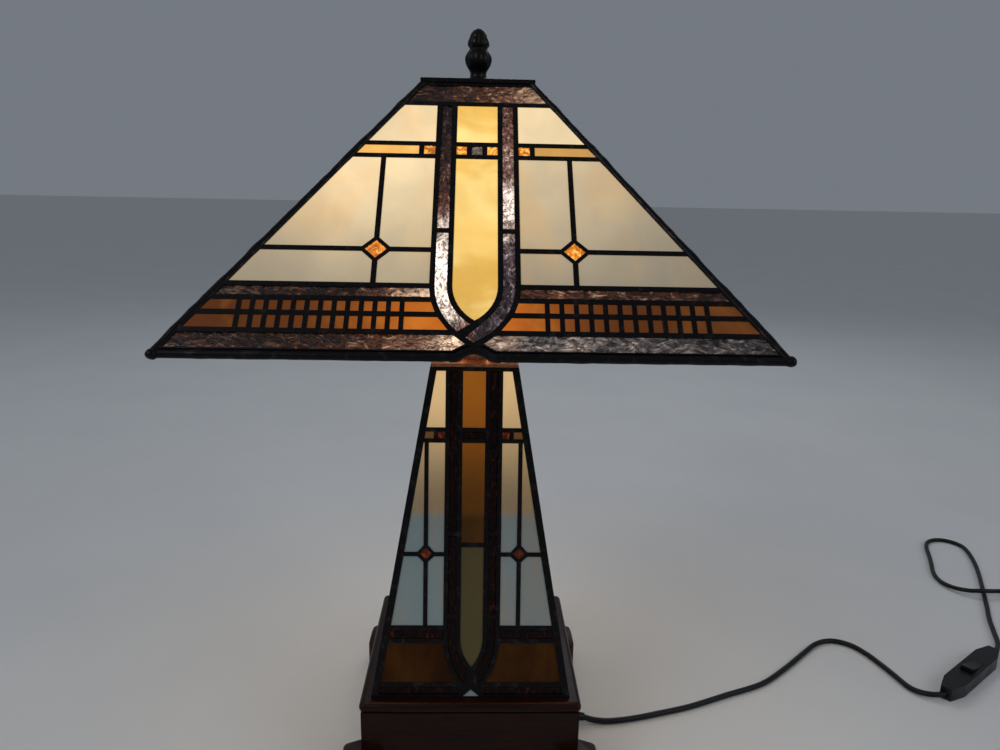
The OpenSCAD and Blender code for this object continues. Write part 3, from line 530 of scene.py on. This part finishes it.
# The route from the plinth through the switch, then round the loop to the coil
LEAD = [CORD_EXIT, (108, -10.5, 3.6), (122, -10.5, LIE), (143, -7, LIE), (168, 0, LIE),
        (198, 9.5, LIE), (236, 26, LIE), (275, 43, LIE), (306, 67, LIE), (337, 95, LIE),
        (357, 112, LIE), (375, 117.5, LIE), (391, 110, LIE), (400.5, 94, LIE), (406, 76, LIE),
        (410.5, 57, LIE), (414.1, 39.4, 2.6), (419.6, 30, 3.4), (429, 24.5, 4.4),
        (438.5, 24.1, 5.1), (447, 28, ENTER), (484.6, 56.5, ENTER), (523, 85.3, ENTER)]
LOOP = [(534, 94.2, 4.8), (543.5, 104.5, 3.6), (551.5, 117, 2.7), (560.5, 137, LIE), (572, 162, LIE),
        (586, 188, LIE), (600, 215, LIE), (614, 242, LIE), (629, 272, LIE), (641, 299, LIE),
        (648.5, 319.5, LIE), (653.7, 338.5, LIE), (653.7, 350.5, LIE), (647.8, 360.8, LIE),
        (638, 366.7, LIE), (627, 366.8, LIE), (617, 361.8, LIE), (609, 353, LIE), (602, 340, LIE),
        (594.5, 322, LIE), (584, 298, LIE), (572, 272, LIE), (567.6, 254, 2.6), (568.4, 240, 3.4),
        (574, 228, 4.6), (583.5, 219.5, 6.2), (592, 216.4, 7.4), (600, 215.2, OVER),
        (609, 215.5, 7.6), (626, 219.8, 5.6), (641, 226.5, 3.6), (652, 230.7, LIE), (661, 232.5, LIE)]
# The coil's middle, its turns, and the radii of its turns side by side
COIL_AT = (661, 200)
COIL_TURNS = 3.25
COIL_POINTS_PER_TURN = 26
OUTER_TURN = 32.5
INNER_TURN = OUTER_TURN - CORD_D
# From the coil up into the plug
PLUG_END = [(693.5, 185, 7.6), (693.5, 168, 9.4), (693.5, 150, 11)]


def coil_points():
    """Turns side by side and on each other, wound clockwise from the top to the plug's side."""
    upper = LIE + CORD_D
    stations = [(0, OUTER_TURN, LIE), (0.93, OUTER_TURN, LIE), (1.07, INNER_TURN, LIE),
                (1.93, INNER_TURN, LIE), (2.07, INNER_TURN, upper), (2.93, INNER_TURN, upper),
                (3.07, OUTER_TURN, upper), (COIL_TURNS, OUTER_TURN, upper)]
    out = []
    for i in range(1, int(COIL_TURNS * COIL_POINTS_PER_TURN) + 1):
        turn = i / COIL_POINTS_PER_TURN
        for (t0, r0, z0), (t1, r1, z1) in zip(stations, stations[1:]):
            if t0 <= turn <= t1:
                k = (turn - t0) / (t1 - t0)
                k = k * k * (3 - 2 * k)
                r, z = r0 + (r1 - r0) * k, z0 + (z1 - z0) * k
        a = math.radians(90 - 360 * turn)
        out.append((COIL_AT[0] + r * math.cos(a), COIL_AT[1] + r * math.sin(a), z))
    return out


def make_cord(material):
    route = [mm(*p) for p in LEAD + LOOP + coil_points() + PLUG_END]
    points = smooth_route(route, 5)
    curve = bpy.data.curves.new("cord", "CURVE")
    curve.dimensions = "3D"
    spline = curve.splines.new("POLY")
    spline.points.add(len(points) - 1)
    for sp, p in zip(spline.points, points):
        sp.co = (p.x, p.y, max(p.z, LIE * MM), 1)
    curve.bevel_depth = CORD_D / 2 * MM
    curve.bevel_resolution = 4
    curve.use_fill_caps = True
    ob = bpy.data.objects.new("cord", curve)
    curve.materials.append(material)
    bpy.context.scene.collection.objects.link(ob)
    return put(ob, "base", "cord_rubber", "cord_to_switch", "cord_to_coil", "cord_coil", "cord_to_plug")


cord = make_cord(moulded("cord_black", (0.005, 0.005, 0.005, 1), rough=0.4, grain=700, strength=0.08))

# ---- Faces of the shade and the tower ----

# Half widths at the top and the foot, height, and height of the top above the table
SHADE_TOP, SHADE_FOOT, SHADE_H, SHADE_Z = 39.0, 181.5, 164.5, 524.5
TOWER_TOP, TOWER_FOOT, TOWER_H, TOWER_Z = 33.5, 76.5, 251.0, 323.0
SLANT = math.hypot(SHADE_FOOT - SHADE_TOP, SHADE_H)
SLOPE = (SHADE_FOOT - SHADE_TOP) / SLANT


def face_frames(top, foot, height, z):
    """Frames of the four faces: x across, y up the slope from the top edge, z out of the glass."""
    tilt = Matrix.Rotation(math.atan2(height, foot - top), 4, "X")
    return [Matrix.Rotation(math.radians(90 * k), 4, "Z") @ Matrix.Translation(mm(0, -top, z)) @ tilt
            for k in range(4)]


SHADE_FACES = face_frames(SHADE_TOP, SHADE_FOOT, SHADE_H, SHADE_Z)
TOWER_FACES = face_frames(TOWER_TOP, TOWER_FOOT, TOWER_H, TOWER_Z)


def on_shade(k, x, s, out=0.0):
    """A point of face k, s down its slope and out from its surface."""
    return SHADE_FACES[k] @ mm(x, -s, out)


def face_of(c):
    """Which of the four faces a point belongs to."""
    if abs(c.x) > abs(c.y):
        return 1 if c.x > 0 else 3
    return 0 if c.y < 0 else 2


# How far under its outer face the middle of a leaded panel lies
MID_PANEL = 2.1


def cut_grid(bm, step):
    """Cuts a flat panel into squares about step wide."""
    for axis in (0, 1):
        values = [v.co[axis] for v in bm.verts]
        low, high = min(values), max(values)
        n = int((high - low) / step)
        normal = Vector((1, 0, 0)) if axis == 0 else Vector((0, 1, 0))
        for i in range(1, n + 1):
            at = normal * (low + (high - low) * i / (n + 1))
            bmesh.ops.bisect_plane(bm, geom=bm.verts[:] + bm.edges[:] + bm.faces[:], dist=1e-7,
                                   plane_co=at, plane_no=normal)


def crinkle(bm, height, size, seed):
    """Raises and lowers both faces of a panel, each in its own pattern."""
    for v in bm.verts:
        side = 1 if v.co.z > -MID_PANEL * MM else -1
        q = Vector((v.co.x * size[0], v.co.y * size[1], seed + side))
        ridge = 1 - abs(noise.noise(q)) * 2.2
        v.co.z += height * (0.6 * ridge - 0.35 + 0.5 * noise.noise(q * 2.3))


def rippled(node, faces, body, slot, material, height, size, seed, step):
    """The node's glass with a crinkled surface, in fine squares of step millimetres."""
    whole = bpy.data.meshes.new(node + "_grid")
    joined = bmesh.new()
    for k, local in enumerate(faces):
        bm = cad_mesh(node)
        others = [f for f in bm.faces if face_of(f.calc_center_median()) != k]
        bmesh.ops.delete(bm, geom=others, context="FACES")
        bm.transform(local.inverted())
        cut_grid(bm, step * MM)
        crinkle(bm, height * MM, size, k * 3.7 + seed)
        bm.transform(local)
        bm.to_mesh(whole)
        bm.free()
        joined.from_mesh(whole)
    ob = new_object(node + "_rippled", joined, material, 70)
    bpy.data.meshes.remove(whole)
    return put(ob, body, slot, node)


# ---- Materials of the lamp ----

# Colour of the painted glints and glare in the brown strips.
WHITE_PINK_GLINT = srgb(255, 232, 216)
cream_lit = opal("cream_opal", (0.3, 0.29, 0.25, 1), srgb(232, 202, 150), srgb(226, 178, 116), cream_level,
                 gain=0.95, wisp_amount=0.42)
amber_lit = opal("amber_opal", (0.3, 0.17, 0.04, 1), srgb(246, 192, 86), srgb(255, 222, 140), amber_level,
                 gain=0.92, wisp_amount=0.7)
honey_lit = opal("honey_opal", (0.26, 0.15, 0.05, 1), srgb(232, 172, 82), srgb(244, 196, 116), glow,
                 gain=0.9, wisp_amount=0.6)
brick_lit = opal("brick_opal", (0.062, 0.02, 0.003, 1), srgb(214, 112, 26), srgb(228, 138, 46), brick_level,
                 gain=0.98, wisp_amount=0.6, coat=0.3)
# Painted shade on the tower glass: cool and pale on the cream low down, darker on the amber under the foot
# panes; warm painted light above.
cream_lit_and_shaded = painted_shade_under(TOWER_SHADOW, (0.25, 0.33, 0.345, 1), (0.17, 0.145, 0.11, 1))
amber_lit_and_shaded = painted_shade_under(FOOT_PANES, (0.028, 0.008, 0.0006, 1), (0.075, 0.035, 0.009, 1))
tower_cream = opal("tower_cream", cream_lit_and_shaded, srgb(206, 172, 120), srgb(196, 152, 94), tower_level,
                   wisp_amount=0.4, coat=0.25)
tower_amber = opal("tower_amber", amber_lit_and_shaded, srgb(140, 80, 20), srgb(152, 96, 34), tower_level,
                   gain=0.86, wisp_amount=0.2, coat=0.06)
tower_olive = opal("tower_olive", (0.1, 0.078, 0.03, 1), srgb(90, 72, 40), srgb(100, 84, 50), tower_level,
                   gain=0.4, wisp_amount=0.7, coat=0.15)
tower_honey = opal("tower_honey", (0.1, 0.055, 0.02, 1), srgb(120, 80, 40), srgb(140, 100, 56), tower_level,
                   gain=0.6, wisp_amount=0.6, coat=0.15)
strip_lit = flecked("strip_ripple", srgb(20, 9, 8), srgb(172, 108, 84), WHITE_PINK_GLINT, strip_level,
                    cool_shade=srgb(132, 106, 116), where=low_right)
band_lit = flecked("rim_ripple", srgb(16, 8, 7), srgb(150, 92, 62), srgb(246, 206, 172), band_level,
                   stretch=(0.45, 0.45, 1.1), cool_shade=srgb(148, 138, 136), where=rim_right)
grey_lit = flecked("grey_ripple", srgb(50, 44, 42), srgb(150, 124, 106), srgb(225, 210, 195), even(0.8))
tower_dark = flecked("tower_ripple", srgb(8, 2, 2), srgb(44, 14, 8), srgb(110, 50, 32), even(0.14), coat=0.08)
jewel_lit = jewel("jewel_orange", srgb(218, 120, 26), srgb(255, 196, 84), 0.9)
jewel_dim = jewel("jewel_dim", srgb(104, 38, 8), srgb(150, 66, 16), 0.12, coat=0.2)
lead = patina("lead_patina")
cast_black = patina("cap_patina", (0.009, 0.007, 0.007, 1), (0.032, 0.025, 0.022, 1), rough=0.32)
# The plinth's dark wood is made darker still as painted shade; the feet get a lighter copy of it, a painted
# lit copy, with its grain upright.
mahogany_shaded = wood("dark_mahogany_shaded", (0.004, 0.001, 0.0008, 1), (0.024, 0.0055, 0.0028, 1), "x")
mahogany_feet_lit = wood("dark_mahogany_feet_lit", (0.009, 0.0035, 0.003, 1), (0.045, 0.016, 0.011, 1), "z")
plain_board = wood("plain_board", (0.2, 0.12, 0.06, 1), (0.34, 0.22, 0.12, 1), "y", rough=0.6)
bronze = metal("antique_bronze", (0.42, 0.19, 0.11, 1), (0.16, 0.07, 0.04, 1), rough=0.24)
brass = metal("satin_brass", (0.7, 0.5, 0.22, 1), (0.42, 0.28, 0.11, 1), rough=0.3)
steel = metal("plated_steel", (0.62, 0.6, 0.56, 1), (0.42, 0.4, 0.37, 1), rough=0.3)
felt = moulded("felt", (0.03, 0.03, 0.032, 1), rough=0.95, grain=2600, strength=0.8)
socket_black = moulded("socket_black", (0.02, 0.019, 0.018, 1), rough=0.5)
switch_black = moulded("switch_black", (0.005, 0.005, 0.005, 1), rough=0.32, grain=1800)
bulb_on = bulb_paint("bulb_frosted_lit", 20.0)
bulb_off = bulb_paint("bulb_frosted_off", 0.0)

# ---- Glass ----

for node, body, slot, material in (
        ("shade_glass_cream", "shade", "cream_glass", cream_lit),
        ("shade_glass_amber", "shade", "amber_glass", amber_lit),
        ("shade_glass_honey", "shade", "honey_glass", honey_lit),
        ("shade_glass_bricks", "shade", "brick_glass", brick_lit),
        ("tower_glass_cream", "base", "cream_glass", tower_cream),
        ("tower_glass_amber", "base", "amber_glass", tower_amber),
        ("tower_glass_olive", "base", "olive_glass", tower_olive),
        ("tower_glass_honey", "base", "honey_glass", tower_honey)):
    remake(node, body, slot, material)

# Node, body, slot, look, height and frequency of the crinkle, seed, width of a square
for node, body, slot, material, height, size, seed, step in (
        ("shade_glass_strips", "shade", "ripple_glass", strip_lit, 0.5, (420, 330), 1, 1.3),
        ("shade_glass_ripple", "shade", "ripple_glass", band_lit, 0.5, (210, 420), 2, 1.3),
        ("shade_glass_grey", "shade", "grey_glass", grey_lit, 0.45, (420, 420), 3, 0.8),
        ("shade_glass_jewels", "shade", "jewel_glass", jewel_lit, 0.5, (420, 420), 4, 0.8),
        ("tower_glass_strips", "base", "ripple_glass", tower_dark, 0.5, (420, 260), 5, 1.3),
        ("tower_glass_ripple", "base", "ripple_glass", tower_dark, 0.5, (260, 420), 6, 1.3),
        ("tower_glass_jewels", "base", "jewel_glass", jewel_dim, 0.45, (420, 420), 7, 0.8)):
    faces = SHADE_FACES if body == "shade" else TOWER_FACES
    rippled(node, faces, body, slot, material, height, size, seed, step)

# ---- Lead ----

for side in ("front", "right", "back", "left"):
    remake("shade_leads_" + side, "shade", "lead", lead, 0.75, smooth_angle=50)
    remake("tower_leads_" + side, "base", "lead", lead, 0.75, smooth_angle=50)
remake("tower_corner_cames", "base", "lead", lead, 1.3, 3, angle=20, smooth_angle=60)

# How far down the slope the level leads meet a hip
LEAD_ROWS = (20.2, 56.6, 67.4, 142.2, 168.4, 178.0, 188.2, 200.2)
# Radius of the bead, and how far it is sunk below the corner of the shade
HIP_BEAD, HIP_DEPTH = 2.45, 2.0
# Radius of the bead and of its corner balls, and how far down the slope it runs
RIM_BEAD, RIM_BALL, RIM_AT = 2.7, 3.3, SLANT - 2.4


def make_hips():
    """The four hips, a run of solder that swells where a lead meets it."""
    bm = bmesh.new()
    for k in range(4):
        local = SHADE_FACES[k]
        after = SHADE_FACES[(k + 1) % 4]
        out = (local.to_3x3() @ Vector((0, 0, 1)) + after.to_3x3() @ Vector((0, 0, 1))).normalized()

        def at(s):
            return local @ mm(SHADE_TOP + SLOPE * s, -s, 0) - out * HIP_DEPTH * MM
        points = path([at(-1), at(SLANT - 2)], 3 * MM)
        bead(bm, points, HIP_BEAD * MM, [at(s) for s in LEAD_ROWS], 0.5 * MM, 0.25 * MM, seed=k)
    bmesh.ops.recalc_face_normals(bm, faces=bm.faces)
    put(new_object("hip_beads", bm, lead, 60), "shade", "lead", "shade_hip_cames")


def make_rim():
    """The rim, with an inverted V at the middle of each side and a ball at each corner."""
    bm = bmesh.new()
    edge = SHADE_TOP + SLOPE * RIM_AT
    half = [(edge, RIM_AT), (10.9, RIM_AT), (3.2, RIM_AT - 4.3), (0, RIM_AT - 5.0)]
    run = half + [(-x, s) for x, s in reversed(half[:-1])]
    for k in range(4):
        points = path([on_shade(k, x, s, -MID_PANEL) for x, s in run], 2.5 * MM)
        joints = [on_shade(k, x, RIM_AT, -MID_PANEL) for x in (-60, 60)]
        bead(bm, points, RIM_BEAD * MM, joints, 0.2 * MM, 0.2 * MM, seed=10 + k)
        corner = on_shade(k, edge, RIM_AT, -MID_PANEL)
        ball = bmesh.ops.create_icosphere(bm, subdivisions=3, radius=RIM_BALL * MM,
                                          matrix=Matrix.Translation(corner))
        for v in ball["verts"]:
            v.co += (v.co - corner).normalized() * 0.4 * MM * wobble(v.co, 260, k)
    bmesh.ops.recalc_face_normals(bm, faces=bm.faces)
    put(new_object("rim_bead", bm, lead, 60), "shade", "lead", "shade_rim_cames")


make_hips()
make_rim()
remake("shade_cap", "shade", "lead", cast_black, 0.7, 3)
remake("cap_boss", "shade", "lead", cast_black, 0.5, 3)

# ---- Finial ----

# Radius and height of the finial's outline, above its foot
FINIAL_OUTLINE = [
    (0, 0), (12, 0), (12, 0.8), (10, 1.2), (8.2, 1.9), (6.9, 2.7), (6.2, 3.8), (5.9, 5.2), (5.9, 6.6),
    (6.4, 8), (7.5, 9.8), (8.7, 11.8), (9.5, 14), (9.8, 16), (9.5, 18), (8.7, 19.8), (7.6, 21.4),
    (6.7, 22.6), (6.4, 23.3), (6.7, 24.1), (7.5, 25), (7.9, 26), (7.8, 27.4), (7.3, 29), (6.6, 30.6),
    (6.3, 31.2), (6.2, 32), (5.6, 33.6), (4.4, 35.3), (3, 36.5), (1.6, 37.3), (0, 37.5)]
FINIAL_FOOT = 529.48
FINIAL_SIDES = 96


def carved(r, h, a):
    """Radius of the finial at height h and angle a: gadroons round the bulb, ribs round the acorn."""
    bulb = math.exp(-((h - 16) / 4.6) ** 2)
    acorn = math.exp(-((h - 29) / 4.4) ** 2)
    gadroon = 0.62 - abs(math.sin(a * 5)) ** 0.7
    rib = 0.6 - abs(math.sin(a * 4 + 0.35)) ** 0.7
    return max(r - 0.95 * bulb * gadroon - 0.8 * acorn * rib, 0.0)


def make_finial():
    """A gadrooned bulb under a ribbed acorn."""
    bm = bmesh.new()
    turn = [2 * math.pi * k / FINIAL_SIDES for k in range(FINIAL_SIDES)]
    rings = []
    for r, h in FINIAL_OUTLINE:
        around = [(carved(r, h, a), a) for a in turn]
        rings.append([bm.verts.new(mm(c * math.cos(a), c * math.sin(a), FINIAL_FOOT + h)) for c, a in around])
    ring_walls(bm, rings)
    bmesh.ops.remove_doubles(bm, verts=bm.verts, dist=1e-6)
    bmesh.ops.recalc_face_normals(bm, faces=bm.faces)
    put(new_object("finial_cast", bm, cast_black, 70), "finial", "lead", "finial")


make_finial()

# ---- Plinth ----

remake("plinth_top", "base", "dark_wood", mahogany_shaded)
remake("plinth_body", "base", "dark_wood", mahogany_shaded, 0.8)
remake("plinth_feet", "base", "dark_wood", mahogany_feet_lit, 0.6, angle=50, smooth_angle=30)
remake("felt_pads", "base", "felt", felt, 0.3)
remake("bottom_cover", "base", "cover_board", plain_board, 0.3, 1)
remake("bottom_screws", "base", "steel", steel, 0.3)

# ---- Metal and lamps ----

remake("tower_top_plate", "base", "bronze", bronze, 0.5)
remake("vase_cap", "base", "bronze", bronze)
remake("stem_tube", "base", "brass", brass)
remake("stem_nuts", "base", "brass", brass, 0.4)
remake("stem_washers", "base", "brass", brass, 0.3)
remake("tower_lamp_bracket", "base", "steel", steel, 0.3)
remake("tower_lamp_socket", "base", "socket_plastic", socket_black, 0.5)
remake("tower_bulb_cap", "tower_bulb", "steel", steel)
remake("tower_bulb_glass", "tower_bulb", "bulb_glass", bulb_off)
remake("cluster_body", "base", "bronze", bronze)
remake("cluster_sockets", "base", "socket_plastic", socket_black, 0.5)
for side in ("left", "right"):
    remake(side + "_bulb_cap", side + "_bulb", "steel", steel)
    remake(side + "_bulb_glass", side + "_bulb", "bulb_glass", bulb_on)

# ---- Switch, plug and bushing ----

remake("cord_bushing", "base", "black_plastic", switch_black, 0.3)
bottom = remake("switch_bottom", "base", "black_plastic", switch_black, 1.6, 3)
top = remake("switch_top", "base", "black_plastic", switch_black, 1.6, 3)
rocker = remake("switch_rocker", "rocker", "black_plastic", switch_black, 0.7)
plug = remake("plug_body", "base", "black_plastic", switch_black, 2.2, 3)
pins = remake("plug_pins", "base", "brass", brass, 0.5)

# ---- Floor and light ----


def make_stage():
    bm = bmesh.new()
    bmesh.ops.create_grid(bm, x_segments=2, y_segments=2, size=40)
    p = Paint("pale_floor", rough=0.65)
    tone = p.noise(5, detail=3)
    p.set("Base Color", p.ramp(tone, (0.3, (0.7, 0.7, 0.7, 1)), (0.7, (0.74, 0.738, 0.73, 1))))
    floor = new_object("floor", bm, p.mat)
    world = bpy.data.worlds.new("studio")
    world.use_nodes = True
    sky = world.node_tree.nodes["Background"]
    sky.inputs["Color"].default_value = (0.8, 0.88, 1.0, 1)
    sky.inputs["Strength"].default_value = 0.22
    bpy.context.scene.world = world
    bpy.context.scene.view_settings.view_transform = "Standard"


def area_light(name, at, aim, size, power, colour):
    data = bpy.data.lights.new(name, "AREA")
    data.shape = "RECTANGLE"
    data.size, data.size_y = size
    data.energy = power
    data.color = colour
    ob = bpy.data.objects.new(name, data)
    ob.location = at
    ob.rotation_euler = (Vector(aim) - Vector(at)).to_track_quat("-Z", "Y").to_euler()
    bpy.context.scene.collection.objects.link(ob)


make_stage()
area_light("key", (-1.5, -1.3, 1.7), (0, 0, 0.3), (1.2, 1.2), 12, (0.86, 0.93, 1.0))
area_light("fill", (1.7, -1.0, 1.3), (0, 0, 0.3), (1.2, 1.2), 6, (0.95, 0.97, 1.0))
area_light("back", (0.3, 1.7, 1.6), (0, 0, 0.35), (1.4, 0.8), 6, (0.9, 0.95, 1.0))
